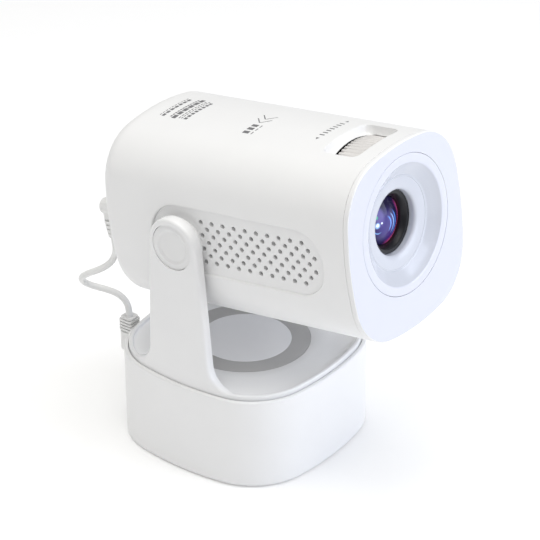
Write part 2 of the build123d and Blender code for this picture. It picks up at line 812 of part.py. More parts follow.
with BuildPart() as power_button:
    with BuildSketch(across(head_rear - 0.4)):
        with Locations((button_x, button_rise)):
            Circle(5)
    extrude(amount=wall + 0.4)
    fillet(power_button.edges().sort_by(Axis(middle, forward))[0], 0.4)
    with BuildSketch(across(head_rear + wall)):
        with Locations((button_x, button_rise)):
            Circle(6.2)
    extrude(amount=1)
    with BuildSketch(across(head_rear + wall)):
        with Locations((button_x, button_rise)):
            Circle(1.5)
    extrude(amount=2.2)
finish(power_button, "power_button")

switch_front = head_rear + wall + 3.1
with BuildPart() as power_switch:
    with BuildSketch(across(switch_front)):
        with Locations((button_x, button_rise)):
            Rectangle(6, 6)
    extrude(amount=3)
    with BuildSketch(across(switch_front + 3)):
        with Locations((button_x, button_rise)):
            RectangleRounded(20, 12, 1)
    extrude(amount=1.2)
finish(power_switch, "power_switch")

with BuildPart() as head_dc_inlet:
    with BuildSketch(across(head_rear + 0.2)):
        with Locations((inlet_x, inlet_rise)):
            Circle(3.2)
    extrude(amount=3.4)
    with BuildSketch(across(head_rear + wall)):
        with Locations((inlet_x, inlet_rise)):
            Circle(4.5)
    extrude(amount=10)
    with BuildSketch(across(head_rear)):
        with Locations((inlet_x, inlet_rise)):
            Circle(2.3)
            Circle(0.6, mode=Mode.SUBTRACT)
    extrude(amount=9, mode=Mode.SUBTRACT)
finish(head_dc_inlet, "head_dc_inlet")

with BuildPart() as speaker:
    with BuildSketch(across(-40, middle + upward * -9)):
        with Locations((12, 0)):
            Circle(15)
    extrude(amount=4)
    with BuildSketch(across(-36, middle + upward * -9)):
        with Locations((12, 0)):
            Circle(9)
    extrude(amount=8)
    with BuildSketch(across(-40, middle + upward * -9)):
        with Locations((12, 0)):
            Circle(13)
    extrude(amount=2.4, taper=30, mode=Mode.SUBTRACT)
finish(speaker, "speaker")

# --- Lead between the base and the head, with a right-angle plug at each end ---

base_plug_y = 62.5
boot_top = 54.0
head_plug_along = head_rear - 6.5
boot_low = -15.4  # the head plug's lower end, from the head's middle

with BuildPart() as base_plug:
    with BuildSketch(Plane.XZ.offset(-(outlet_mouth - 7))):
        with Locations((outlet_x, outlet_z)):
            Circle(2.75)
            Circle(1.05, mode=Mode.SUBTRACT)
    extrude(amount=-9)
    with BuildSketch(Plane.XZ.offset(-(outlet_mouth + 0.6))):
        with Locations((outlet_x, outlet_z)):
            Circle(4.4)
    extrude(amount=-3)
    with BuildSketch(Plane.XY.offset(33.4)):
        with Locations((outlet_x, base_plug_y)):
            RectangleRounded(8.4, 8.4, 2.2)
    extrude(amount=11.6)
    fillet(base_plug.edges().group_by(Axis.Z)[0], 1.2)
    with BuildSketch(Plane.XY.offset(45)):
        with Locations((outlet_x, base_plug_y)):
            RectangleRounded(5.6, 5.6, 1.4)
    extrude(amount=boot_top - 45)
    for i in range(4):
        with BuildSketch(Plane.XY.offset(46.1 + 1.85 * i)):
            with Locations((outlet_x, base_plug_y)):
                RectangleRounded(8.4, 8.4, 1.1)
        extrude(amount=1.05)
    with BuildSketch(Plane.XY.offset(53.2)):
        with Locations((outlet_x, base_plug_y)):
            RectangleRounded(7.4, 7.4, 1.6)
    extrude(amount=boot_top - 53.2)
finish(base_plug, "base_plug")

plug_centre = middle + upward * inlet_rise + Vector(inlet_x, 0, 0)
with BuildPart() as head_plug:
    with BuildSketch(across(head_rear + 7, plug_centre)):
        Circle(2.2)
        Circle(0.65, mode=Mode.SUBTRACT)
    extrude(amount=-8.2)
    with BuildSketch(across(head_rear - 1.2, plug_centre)):
        Circle(4.4)
    extrude(amount=-9.2)
    fillet(head_plug.edges().sort_by(Axis(middle, forward))[0], 1.4)
    spine = Plane(origin=plug_centre + forward * head_plug_along, x_dir=(1, 0, 0), z_dir=-upward)
    with BuildSketch(spine):
        Circle(3.6)
    extrude(amount=6.4)
    with BuildSketch(spine):
        Circle(2.5)
    extrude(amount=inlet_rise - boot_low)
    for i in range(4):
        with BuildSketch(spine.offset(7.6 + 2.5 * i)):
            Circle(3.7 - 0.25 * i)
        extrude(amount=1.5)
finish(head_plug, "head_plug")

lead_top = plug_centre + forward * head_plug_along - upward * (inlet_rise - boot_low)
lead_points = [
    (outlet_x, base_plug_y, boot_top),
    (outlet_x, base_plug_y, 60.4),
    (-22.4, 67.4, 65.6),
    (-24.8, 74.4, 67.6),
    (-28.6, 80.8, 69.2),
    (-33.8, 83.6, 73.2),
    (-38.0, 81.2, 79.0),
    (-38.4, 75.4, 83.6),
    (-35.6, 69.2, 86.8),
    (-32.6, 64.0, 91.2),
    (-31.8, 61.4, 97.4),
    tuple(lead_top - upward * 6.4),
    tuple(lead_top),
]


def lead_radii(points):
    """The radius of each bend: 0.45 of the shorter run over the tangent of half the turn."""
    spots = [Vector(*p) for p in points]
    for a, b, c in zip(spots, spots[1:], spots[2:]):
        turn = radians((b - a).get_angle(c - b))
        yield 0.45 * min((b - a).length, (c - b).length) / tan(turn / 2)


radii = list(lead_radii(lead_points))
with BuildPart() as lead:
    with BuildLine() as route:
        FilletPolyline(*lead_points, radius=radii)
    with BuildSketch(Plane(origin=lead_points[0], z_dir=(Vector(*lead_points[1]) - Vector(*lead_points[0])))):
        Circle(cord_radius)
    sweep()
finish(lead, "lead_cord")
print("lead radii", [round(r, 1) for r in radii])
length = route.wires()[0].length
print("lead length", round(length, 1), "volume ratio", lead.part.volume / (length * pi * cord_radius**2))
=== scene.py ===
import json
import bmesh
import bpy
import numpy as np
from mathutils import Matrix, Vector


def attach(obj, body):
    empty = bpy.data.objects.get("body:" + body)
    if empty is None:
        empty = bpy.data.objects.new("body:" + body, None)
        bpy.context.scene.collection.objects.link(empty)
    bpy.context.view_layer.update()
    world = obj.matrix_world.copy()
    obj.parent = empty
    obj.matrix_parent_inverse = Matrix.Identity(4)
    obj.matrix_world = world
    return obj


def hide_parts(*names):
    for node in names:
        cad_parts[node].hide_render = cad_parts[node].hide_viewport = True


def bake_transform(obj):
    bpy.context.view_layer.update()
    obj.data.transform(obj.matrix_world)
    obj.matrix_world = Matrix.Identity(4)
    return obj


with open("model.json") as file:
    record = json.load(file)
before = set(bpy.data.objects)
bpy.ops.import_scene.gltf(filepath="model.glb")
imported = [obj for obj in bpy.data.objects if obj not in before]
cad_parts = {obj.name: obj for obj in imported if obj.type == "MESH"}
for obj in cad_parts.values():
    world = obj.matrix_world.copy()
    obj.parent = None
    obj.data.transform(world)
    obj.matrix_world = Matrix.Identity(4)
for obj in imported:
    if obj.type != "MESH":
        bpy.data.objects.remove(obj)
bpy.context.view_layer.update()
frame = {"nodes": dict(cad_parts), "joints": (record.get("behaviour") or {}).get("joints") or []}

mm = 0.001
scene = bpy.context.scene
scene.view_settings.view_transform = "Standard"

# Camera: a long lens on the projector's front left corner, a little above it,
# rolled by a third of a degree. It aims at the middle of the stand.
aim = Vector((8.0, -10.4, 93.6)) * mm
camera_turn, camera_lift, camera_roll = np.radians((52.496, 29.677, 0.339))
camera_distance = 1343.6 * mm
level = np.cos(camera_lift)
look = Vector((np.sin(camera_turn) * level, np.cos(camera_turn) * level, -np.sin(camera_lift)))
camera = bpy.data.objects.new("camera", bpy.data.cameras.new("camera"))
camera.data.lens, camera.data.sensor_width = 171.16, 36.0
camera.data.clip_start, camera.data.clip_end = 0.1, 20.0
camera.matrix_world = (
    Matrix.Translation(aim - look * camera_distance)
    @ look.to_track_quat("-Z", "Y").to_matrix().to_4x4()
    @ Matrix.Rotation(-camera_roll, 4, "Z")
)
scene.collection.objects.link(camera)
scene.camera = camera

# Directions of the head, from its joints: forward runs along the lens,
# upward is square to it, and middle is on the squircle section's centre line.
joints = {joint["name"]: joint for joint in frame["joints"]}
forward = np.array(joints["lens_slide"]["axis"], float)
forward /= np.linalg.norm(forward)
sideways = np.array((1.0, 0.0, 0.0))
upward = np.cross(forward, sideways)
pivot = np.array(joints["head_tilt"]["pos_m"], float)
body_rise, lens_rise = 1.9 * mm, 6.4 * mm
middle = pivot + upward * body_rise
lens_centre = middle + upward * lens_rise


def in_head(x, up, along, centre=middle):
    """Points in the head's directions: centre, plus x sideways, up square to the lens and along it."""
    x, up, along = np.broadcast_arrays(x, up, along)
    return centre + x[..., None] * sideways + up[..., None] * upward + along[..., None] * forward


# Moulded plastics: ABS shells from a spark-eroded mould. The eye gets a clean
# white with a soft gloss, a grain under half a millimetre and a faint mottle.
def linear(code):
    """An sRGB hex colour as linear RGBA."""
    c = np.array([int(code[i:i + 2], 16) for i in (1, 3, 5)]) / 255
    c = np.where(c <= 0.04045, c / 12.92, ((c + 0.055) / 1.055) ** 2.4)
    return (*c.tolist(), 1.0)


def add(tree, kind, values):
    """Adds a node: each value sets a property, is linked to an input if it is a socket, or sets the input."""
    made = tree.nodes.new(kind)
    for key, value in values.items():
        if isinstance(key, str) and hasattr(made, key):
            setattr(made, key, value)
        elif isinstance(value, bpy.types.NodeSocket):
            tree.links.new(value, made.inputs[key])
        else:
            made.inputs[key].default_value = value
    return made


def new_material(name):
    """An empty node material with its shader and output, and the object coordinates to work from."""
    material = bpy.data.materials.new(name)
    material.use_nodes = True
    tree = material.node_tree
    shader = tree.nodes["Principled BSDF"]
    place = add(tree, "ShaderNodeTexCoord", {}).outputs["Object"]
    return material, tree, shader, place


def moulded(name, colour, shade, roughness, grain_mm, relief_mm, coat=0.0):
    """Moulded plastic: two close shades mottled over centimetres, under an even grain of that size."""
    material, tree, shader, place = new_material(name)
    mottle = add(tree, "ShaderNodeTexNoise", {"Scale": 45.0, "Detail": 2.0, "Vector": place})
    mix = add(tree, "ShaderNodeMix", {
        "data_type": "RGBA", 0: mottle.outputs["Fac"], 6: linear(colour), 7: linear(shade)})
    grain = add(tree, "ShaderNodeTexNoise", {"Scale": 1 / (grain_mm * mm), "Detail": 3.0, "Vector": place})
    gloss = add(tree, "ShaderNodeMapRange", {
        0: grain.outputs["Fac"], 3: roughness * 0.88, 4: roughness * 1.12})
    bump = add(tree, "ShaderNodeBump", {
        "Strength": 0.6, "Distance": relief_mm * mm, "Height": grain.outputs["Fac"]})
    tree.links.new(mix.outputs[2], shader.inputs["Base Color"])
    tree.links.new(gloss.outputs[0], shader.inputs["Roughness"])
    tree.links.new(bump.outputs[0], shader.inputs["Normal"])
    shader.inputs["IOR"].default_value = 1.53
    shader.inputs["Coat Weight"].default_value = coat
    shader.inputs["Coat Roughness"].default_value = 0.08
    return material


shell_white = moulded("satin_white_abs", "#f4f4f4", "#f0f0f0", 0.34, 0.45, 0.012)
gloss_white = moulded("gloss_white_abs", "#e2e4ee", "#dfe1ec", 0.18, 0.9, 0.001, 0.4)
yoke_white = moulded("polished_white_abs", "#f2f2f2", "#eeeeef", 0.24, 0.6, 0.006, 0.15)
grille_white = moulded("etched_white_abs", "#f2f2f2", "#eeeeee", 0.45, 0.35, 0.015)
wheel_ivory = moulded("ivory_pom", "#dedcda", "#d8d5d3", 0.42, 0.5, 0.008)
lead_white = moulded("pale_grey_pvc", "#f0f0ef", "#ebebea", 0.42, 0.7, 0.012)
cap_white = moulded("fine_white_abs", "#ededed", "#e8e8e8", 0.3, 0.4, 0.008)


# Squircle section: the outline that the base, the yoke's foot and the head
# share, four corner arcs joined by four flatter side arcs, all tangent.
def rim(half_x, half_y, turn):
    """Points and outward normals where the normal points at angle turn: each arc's centre plus its radius."""
    short = min(half_x, half_y)
    corner, reach = 0.62 * short, 0.65 * short
    cx, cy = half_x - reach, half_y - reach
    rx, ry = ((reach**2 + c**2 - corner**2) / (2 * (reach - corner)) for c in (cy, cx))
    c, s = np.cos(turn), np.sin(turn)
    folded = np.arctan2(abs(s), abs(c))
    on_side = folded < np.arctan2(cy, cx - half_x + rx)
    on_top = folded > np.arctan2(cy - half_y + ry, cx)
    x0 = np.where(on_side, half_x - rx, np.where(on_top, 0.0, cx))
    y0 = np.where(on_top, half_y - ry, np.where(on_side, 0.0, cy))
    radius = np.where(on_side, rx, np.where(on_top, ry, corner))
    sign_c, sign_s = np.where(c < 0, -1, 1), np.where(s < 0, -1, 1)
    points = np.stack((sign_c * (x0 + radius * abs(c)), sign_s * (y0 + radius * abs(s))), -1)
    return points, np.stack((c, s), -1)


def paced(half_x, half_y, samples=8001):
    """The outline's length table: normal angles from 0 to a full turn, and the length run to each."""
    turn = np.linspace(0, 2 * np.pi, samples)
    points = rim(half_x, half_y, turn)[0]
    steps = np.linalg.norm(np.diff(points, axis=0), axis=1)
    return turn, np.concatenate(([0], np.cumsum(steps)))


def even_turns(half_x, half_y, count):
    """Normal angles of count points evenly spaced by length round the outline."""
    turn, run = paced(half_x, half_y)
    return np.interp(np.arange(count) / count * run[-1], run, turn)


def quads(rows, columns, wrap):
    """Faces of a grid of points, row after row, whose columns may wrap round."""
    i, j = np.meshgrid(np.arange(rows - 1), np.arange(columns if wrap else columns - 1), indexing="ij")
    k = (j + 1) % columns
    here, after = i * columns, (i + 1) * columns
    return np.stack((here + j, here + k, after + k, after + j), -1).reshape(-1, 4)


def piece(name, points, faces, body, node=None, material=None, outward=True):
    """A mesh object from points and faces, smooth, welded, riding on its body and standing for its node."""
    mesh = bpy.data.meshes.new(name)
    mesh.from_pydata(np.reshape(points, (-1, 3)).tolist(), [], [list(f) for f in faces])
    work = bmesh.new()
    work.from_mesh(mesh)
    bmesh.ops.remove_doubles(work, verts=work.verts, dist=1e-6)
    bmesh.ops.dissolve_degenerate(work, edges=work.edges, dist=1e-7)
    if outward:
        bmesh.ops.recalc_face_normals(work, faces=work.faces)
    work.to_mesh(mesh)
    work.free()
    mesh.shade_smooth()
    made = bpy.data.objects.new(name, mesh)
    scene.collection.objects.link(made)
    if body:
        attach(made, body)
    if node:
        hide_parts(node)
    if material:
        mesh.materials.append(material)
    return made


def crease(made, degrees=32):
    """Splits the shading at edges sharper than the given angle."""
    made.data.set_sharp_from_angle(angle=np.radians(degrees))


def loops(name, rings, body, node, material, degrees=35, closed=False):
    """A piece through rings of points; closed joins the last ring to the first, else the ends are open."""
    rings = np.asarray(rings)
    if closed:
        rings = np.concatenate((rings, rings[:1]))
    rows, columns = rings.shape[:2]
    made = piece(name, rings, quads(rows, columns, True), body, node, material)
    crease(made, degrees)
    return made


def arc(x, y, radius, start, end, steps=6):
    """Points of an arc about x, y from one angle to another, in degrees."""
    a = np.radians(np.linspace(start, end, steps))
    return np.stack((x + radius * np.cos(a), y + radius * np.sin(a)), -1)


# Base shell: one deep ABS moulding with upright sides. Its top edge is a
# rounded rim round the yoke's foot, and a thin shadow gap parts it from the table.
base_half, base_top, base_bottom, wall = 58.0, 52.0, 1.0, 2.2
ring_count = 320


def squircle_rings(half_x, half_y, profile, count=ring_count):
    """Rings of a squircle wall: profile holds pairs of inset from the outline and height, in mm."""
    points, normals = rim(half_x, half_y, even_turns(half_x, half_y, count))
    inset, height = np.array(profile).T
    flat = points[None] - inset[:, None, None] * normals[None]
    rise = np.broadcast_to(height[:, None, None], (*flat.shape[:2], 1))
    return np.concatenate((flat, rise), -1) * mm


base_profile = np.concatenate((
    [(wall, base_bottom + 0.4), (wall - 0.3, base_bottom)],
    arc(0.9, base_bottom + 0.9, 0.9, 270, 180),
    [(0, z) for z in np.linspace(4, base_top - 3, 12)],
    arc(1.2, base_top - 1.2, 1.2, 180, 90, 8),
    arc(1.75, base_top - 0.35, 0.35, 90, 0, 4),
    [(2.1, 50.2), (2.2, 49.7), (4.0, 49.7), (4.0, 47.4), (wall, 47.4)],
))
loops("base_shell_skin", squircle_rings(base_half, base_half, base_profile), "stand", "base_shell",
      shell_white, closed=True)

# Yoke foot: the plate that sits in the base's rim, with a raised edge and a
# shallow dish, moulded in one with the arms. It is more polished than the base.
plate_half, plate_floor, plate_top = 55.7, 52.5, 54.6
groove_radius, groove_floor = 34.7, 51.7
foot_profile = np.concatenate((
    [(1.0, 49.7), (0.05, 49.9)],
    [(0.0, z) for z in (51.0, 52.5)],
    arc(0.9, plate_top - 0.9, 0.9, 180, 90, 7),
    arc(1.5, plate_top - 0.8, 0.8, 90, 0, 6),
    arc(3.5, plate_floor + 1.2, 1.2, 180, 270, 7),
))
foot_rings = squircle_rings(plate_half, plate_half, foot_profile)
edge_xy = foot_rings[-1, :, :2]
spoke = edge_xy / np.linalg.norm(edge_xy, axis=1, keepdims=True)


def floor_ring(share, radius, z):
    """A ring between the dish's outline and a circle of that radius, by share."""
    flat = edge_xy * (1 - share) + spoke * radius * mm * share
    return np.concatenate((flat, np.full((len(flat), 1), z * mm)), 1)


dish = [floor_ring(s, groove_radius + 0.25, plate_floor) for s in (0.25, 0.5, 0.75, 1.0)]
dish += [floor_ring(1.0, groove_radius + 0.05, plate_floor - 0.08),
         floor_ring(1.0, groove_radius, plate_floor - 0.3), floor_ring(1.0, groove_radius, groove_floor)]
dish += [floor_ring(1.0, r, groove_floor) for r in (20, 5)] + [floor_ring(1.0, 5, 49.7)]
loops("yoke_foot", np.concatenate((foot_rings, dish)), "stand", "yoke_frame", yoke_white,
      closed=True)

# Yoke arms: two flat uprights that narrow towards the pivot and end in a
# round. Their outer faces follow the foot's outline and their edges are rounded.
arm_inner = 49.2
arm_radius, arm_front, arm_back, flare = 15.5, -18.8, 21.6, 13.0
pivot_y, pivot_z = pivot[1] / mm, pivot[2] / mm
recess_radius_cap, recess_floor_cap = 12.45, 53.4
side_normal = rim(plate_half, plate_half, np.linspace(-0.9, 0.9, 2001))[0]


def arm_x(y, inset=0.0):
    """How far out the foot's outline is at y."""
    return np.interp(y, side_normal[:, 1], side_normal[:, 0]) - inset


def arm_side(foot_y, sense):
    """One edge of an arm: the flare's arc, then the tangent line from the foot to the pivot's round.

    The line's normal leans from the foot's direction by the angle whose cosine is round over reach.
    The flare's centre is its radius from both the line and the plate. Sense is -1 at the front.
    """
    foot = np.array((foot_y, plate_top))
    to_foot = foot - (pivot_y, pivot_z)
    lean = np.arctan2(to_foot[1], to_foot[0]) + sense * np.arccos(arm_radius / np.linalg.norm(to_foot))
    normal = np.array((np.cos(lean), np.sin(lean)))
    along = sense * np.array((-normal[1], normal[0]))
    centre = foot + flare * normal + flare * (1 - normal[1]) / along[1] * along
    sweep = np.linspace(-np.pi / 2, lean - sense * np.pi, 12)
    spokes = np.stack((np.cos(sweep), np.sin(sweep)), -1)
    bend = centre + flare * spokes
    top = arm_radius * normal + (pivot_y, pivot_z)
    straight = bend[-1] + np.linspace(0, 1, 16)[1:, None] * (top - bend[-1])
    normals = np.concatenate((-spokes, np.tile(normal, (len(straight), 1))))
    return np.concatenate((bend, straight)), normals, lean


front_points, front_normals, front_lean = arm_side(arm_front, -1)
back_points, back_normals, back_lean = arm_side(arm_back, 1)
round_turn = np.linspace(front_lean, back_lean - 2 * np.pi, 40)
round_normals = np.stack((np.cos(round_turn), np.sin(round_turn)), -1)[1:-1]
round_points = np.array((pivot_y, pivot_z)) + arm_radius * round_normals
edge = np.concatenate((front_points, round_points, back_points[::-1]))
edge_normals = np.concatenate((front_normals, round_normals, back_normals[::-1]))

for sense, hand in ((-1, "left"), (1, "right")):
    outer_round, inner_round = 1.5, 0.7
    rows = []
    for a in np.radians(np.linspace(0, 90, 7)):
        flat = edge - edge_normals * outer_round * (1 - np.sin(a))
        rows.append(np.column_stack((arm_x(flat[:, 0], outer_round * (1 - np.cos(a))), flat)))
    for a in np.radians(np.linspace(0, 90, 4)):
        flat = edge - edge_normals * inner_round * (1 - np.cos(a))
        rows.append(np.column_stack((np.full(len(flat), arm_inner + inner_round * (1 - np.sin(a))), flat)))
    rows = np.array(rows)
    points, faces = [rows.reshape(-1, 3)], [quads(*rows.shape[:2], False)]
    # faces of the arm: straight strips below, and a fan round the cap's recess above
    side_count, total = len(front_points), rows.shape[1]
    for row, hole in ((rows[0], recess_radius_cap), (rows[-1], 4.05)):
        base_index = sum(len(p) for p in points)
        split = side_count - 5
        share = np.linspace(0, 1, 13)[None, :, None]
        strip = row[:split, None] * (1 - share) + row[::-1][:split, None] * share
        if hole == recess_radius_cap:
            strip[..., 0] = arm_x(strip[..., 1])
        points.append(strip.reshape(-1, 3))
        faces.append(quads(split, 13, False) + base_index)
        crown = np.concatenate((row[split - 1:total - split + 1], strip[-1][::-1][1:-1]))
        spokes = crown[:, 1:] - (pivot_y, pivot_z)
        ring = (pivot_y, pivot_z) + hole * spokes / np.linalg.norm(spokes, axis=1, keepdims=True)
        fan = []
        for t in np.linspace(0, 1, 7):
            flat = crown[:, 1:] * (1 - t) + ring * t
            x = arm_x(flat[:, 0]) if hole == recess_radius_cap else np.full(len(flat), arm_inner)
            fan.append(np.column_stack((x, flat)))
        if hole == recess_radius_cap:
            fan.append(fan[-1] - (0.25, 0, 0))
            fan.append(np.column_stack((np.full(len(ring), recess_floor_cap), ring)))
        base_index = sum(len(p) for p in points)
        fan = np.array(fan)
        points.append(fan.reshape(-1, 3))
        faces.append(quads(*fan.shape[:2], True) + base_index)
    arm = piece(f"yoke_arm_{hand}", np.concatenate(points) * mm * (sense, 1, 1), np.concatenate(faces),
                "stand", None, yoke_white)
    crease(arm, 40)


# Pivot caps: thin moulded discs pressed into the arms over the pivot bolts,
# with a shallow dish in the middle.
def lathe(name, profile, centre, axis, body, node, material, count=128, closed=True, degrees=35):
    """A turned piece: profile holds pairs of radius and distance along the axis, in mm."""
    axis = np.asarray(axis, float)
    first = np.cross(axis, (0.0, 0.0, 1.0)) if abs(axis[2]) < 0.9 else np.array((1.0, 0.0, 0.0))
    first /= np.linalg.norm(first)
    second = np.cross(axis, first)
    turn = np.arange(count) / count * 2 * np.pi
    radius, height = np.array(profile, float).T
    spokes = np.cos(turn)[:, None] * first + np.sin(turn)[:, None] * second
    rings = centre + (radius[:, None, None] * spokes + height[:, None, None] * axis) * mm
    return loops(name, rings, body, node, material, degrees, closed)


for sense, hand in ((-1, "left"), (1, "right")):
    cap_profile = np.concatenate((
        [(0.01, 53.45), (12.0, 53.45), (12.3, 53.6)],
        arc(12.05, 54.5, 0.25, 0, 90, 4),
        [(9.6, 54.75)],
        arc(9.4, 54.5, 0.25, 90, 135, 4),
        [(8.3, 54.0), (7.6, 53.9), (0.01, 53.85)],
    ))
    lathe(f"pivot_cap_{hand}_disc", cap_profile, pivot, (sense, 0, 0), "stand", f"pivot_cap_{hand}",
          cap_white, closed=False)

# Head shells: an upper and a lower half shell of ABS that meet at mid-height in
# a hairline joint. Each side has a long round-ended recess, and the top a slot.
head_x, head_y = 48.05, 49.2
bezel_back, head_rear, rear_round = 103.8, -53.0, 10.0
recess_ends, recess_radius, recess_depth = (-0.9, 72.8), 17.6, 5.2
quarter = np.linspace(0, np.pi / 2, 2001)
quarter_points = rim(head_x, head_y, quarter)[0]


def skin(turn, along, depth=0.0):
    """The head's surface: the squircle's point less depth times its normal, carried along the lens."""
    turn, along, depth = np.broadcast_arrays(turn, along, depth)
    points, normals = rim(head_x, head_y, turn)
    flat = points - depth[..., None] * normals
    return in_head(flat[..., 0] * mm, flat[..., 1] * mm, along * mm)


def turn_at_up(up):
    """The normal's angle on the +X side of the section, at a height over its middle."""
    return np.interp(up, quarter_points[:, 1], quarter)


def turn_at_x(x):
    """The normal's angle on top of the section, at a distance sideways."""
    found = np.interp(-abs(x), -quarter_points[:, 0], quarter)
    return np.where(x < 0, np.pi - found, found)


def to_outline(outer, half_width, back, front, corner):
    """Nearest points of a rounded rectangle to points (along, x): its core, then out by the radius."""
    core = np.clip(outer, (back + corner, corner - half_width), (front - corner, half_width - corner))
    out = outer - core
    return core + corner * out / np.linalg.norm(out, axis=1, keepdims=True)


side_top, slot_block = 24.0, 26.0
block_back, block_front, slot_back, slot_front = -26, 98, 62, 101
side_turns = turn_at_up(np.linspace(0, side_top, 15))
top_turns = turn_at_x(np.linspace(slot_block, -slot_block, 40))
corner_turns = np.linspace(side_turns[-1], top_turns[0], 22)[1:-1]
turns = np.concatenate((side_turns, corner_turns, top_turns, np.pi - corner_turns[::-1],
                        np.pi - side_turns[::-1]))
alongs = np.concatenate((
    np.linspace(-43, block_back, 8)[:-1],
    np.linspace(block_back, slot_back, 45)[:-1],
    np.linspace(slot_back, block_front, 25)[:-1],
    np.linspace(block_front, slot_front, 3)[:-1],
    np.linspace(slot_front, bezel_back, 3),
))
side_rows = (int(np.argmin(abs(alongs - block_back))), int(np.argmin(abs(alongs - block_front))))
slot_rows = (int(np.argmin(abs(alongs - slot_back))), int(np.argmin(abs(alongs - slot_front))))
side_columns = len(side_turns) - 1
slot_start = len(side_turns) + len(corner_turns)
slot_columns = (slot_start, slot_start + len(top_turns) - 1)
slot_mouth = np.array((19.4, 72.0, 96.3, 5.0))
slot_floor = np.array((17.9, 77.8, 92.7, 2.6))
slot_floor_up, scoop_drop, wheel_radius = 42.4, 6.5, 40.6


def recess_rings(sense, mirror):
    """A side recess: rings from the block's edge to the round-ended outline, over its edge, then down."""
    up = np.linspace(0, side_top, 15)
    run = alongs[side_rows[0]:side_rows[1] + 1]
    block = np.concatenate((
        np.column_stack((np.full(14, float(block_back)), up[:-1])),
        np.column_stack((run, np.full(len(run), side_top))),
        np.column_stack((np.full(14, float(block_front)), up[-2::-1])),
    ))
    core = np.column_stack((np.clip(block[:, 0], *recess_ends), np.zeros(len(block))))
    out = (block - core) / np.linalg.norm(block - core, axis=1, keepdims=True)

    def lay(flat, depth):
        turn = turn_at_up(flat[..., 1])
        return skin((np.pi - turn if mirror else turn) * sense, flat[..., 0], depth)

    edge_round = 0.9
    start = core + out * (recess_radius + edge_round)
    rings = [lay(block * (1 - t) + start * t, 0.0) for t in np.linspace(0, 1, 6)]
    for a in np.radians(np.linspace(15, 90, 6)):
        spread = recess_radius + edge_round * (1 - np.sin(a))
        rings.append(lay(core + out * spread, edge_round * (1 - np.cos(a))))
    rings += [lay(core + out * recess_radius, depth) for depth in (1.6, recess_depth)]
    return np.array(rings)


def slot_rings():
    """The focus slot: rings from the block's edge to the mouth, a rounded lip, then a scoop to the wheel.

    Each scoop ring lies between the mouth and the floor outline by its share, and goes down by its drop.
    """
    x_across = np.linspace(slot_block, -slot_block, 40)
    run = alongs[slot_rows[0]:slot_rows[1] + 1]
    block = np.concatenate((
        np.column_stack((np.full(39, run[0]), x_across[:-1])),
        np.column_stack((run[:-1], np.full(len(run) - 1, -slot_block))),
        np.column_stack((np.full(39, run[-1]), x_across[:0:-1])),
        np.column_stack((run[:0:-1], np.full(len(run) - 1, slot_block))),
    ))
    start = to_outline(block, *slot_mouth)
    lines = (block * (1 - t) + start * t for t in np.linspace(0, 1, 5))
    rings = [skin(turn_at_x(line[:, 1]), line[:, 0]) for line in lines]
    for share, drop in ((0.1, 0.06), (0.2, 0.3), (0.27, 0.8), (0.34, 1.6), (0.44, 2.9), (0.56, 4.1),
                        (0.7, 5.2), (0.85, 6.0), (1.0, scoop_drop)):
        flat = to_outline(start, *(slot_mouth + (slot_floor - slot_mouth) * share))
        height = (skin(turn_at_x(flat[:, 1]), flat[:, 0]) - middle) @ upward / mm
        foot = slot_floor_up + np.clip((abs(flat[:, 1]) - 16.2) / 1.4, 0, 1)
        wheel_top = lens_rise / mm + np.sqrt(wheel_radius**2 - flat[:, 1]**2)
        foot = np.where(flat[:, 0] < 80, np.maximum(foot, wheel_top - 0.3), foot)
        sunk = np.minimum(height - 0.06, head_y - drop * (head_y - foot) / scoop_drop)
        sunk = height + (sunk - height) * np.clip(drop, 0.05, 1)
        rings.append(in_head(flat[:, 1] * mm, sunk * mm, flat[:, 0] * mm))
    rings.append(in_head(flat[:, 1] * mm, (sunk - 0.25) * mm, flat[:, 0] * mm))
    return np.array(rings)


